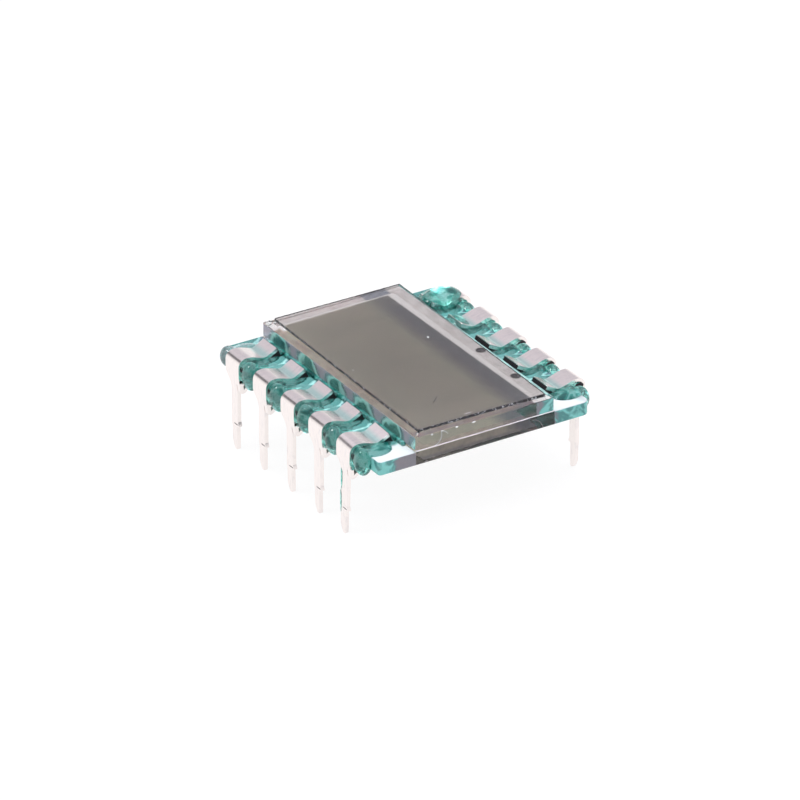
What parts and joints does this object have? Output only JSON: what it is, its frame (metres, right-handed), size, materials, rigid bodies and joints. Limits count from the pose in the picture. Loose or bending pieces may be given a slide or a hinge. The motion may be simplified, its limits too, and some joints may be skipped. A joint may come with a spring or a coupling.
{
  "type": "segment lcd",
  "caption": "Small glass segment display cell standing on two rows of edge-clip pins potted in teal resin.",
  "frame": {"origin": "centre of the pin field, on the plane of the pin tips", "axes": "+X along the two pin rows towards the foot of the digit, +Y across the rows towards the row with the common contacts, +Z out of the display face"},
  "size_m": [0.0141, 0.0132, 0.0055],
  "materials": {
    "tinned_clip_steel": "bright matt tin over rolled steel strip, fine roll lines",
    "float_glass": "clear polished faces, scribed and broken edges that look grey and sea green",
    "polarising_film": "satin neutral grey film with a cut edge",
    "reflector_foil": "matt diffuse silver foil",
    "teal_resin": "wet-looking cured resin, see-through blue-green",
    "seal_epoxy": "pale thin gasket seen through glass",
    "liquid_crystal": "clear fluid film",
    "electrode_oxide": "transparent conductive coating",
    "dot_paste": "dull dark conductive paste",
    "plug_resin": "bluish clear cured drop"
  },
  "bodies": {
    "root": {"clip_pin_left_1": "tinned_clip_steel", "clip_pin_left_2": "tinned_clip_steel", "clip_pin_left_3": "tinned_clip_steel", "clip_pin_left_4": "tinned_clip_steel", "clip_pin_left_5": "tinned_clip_steel", "clip_pin_right_1": "tinned_clip_steel", "clip_pin_right_2": "tinned_clip_steel", "clip_pin_right_3": "tinned_clip_steel", "clip_pin_right_4": "tinned_clip_steel", "clip_pin_right_5": "tinned_clip_steel", "rear_glass": "float_glass", "front_glass": "float_glass", "perimeter_seal": "seal_epoxy", "liquid_crystal": "liquid_crystal", "fill_port_plug": "plug_resin", "transfer_dot_1": "dot_paste", "transfer_dot_2": "dot_paste", "segment_electrodes": "electrode_oxide", "common_electrode": "electrode_oxide", "front_polariser": "polarising_film", "rear_polariser": "polarising_film", "reflector_foil": "reflector_foil", "resin_left": "teal_resin", "resin_right": "teal_resin"}
  },
  "joints": []
}
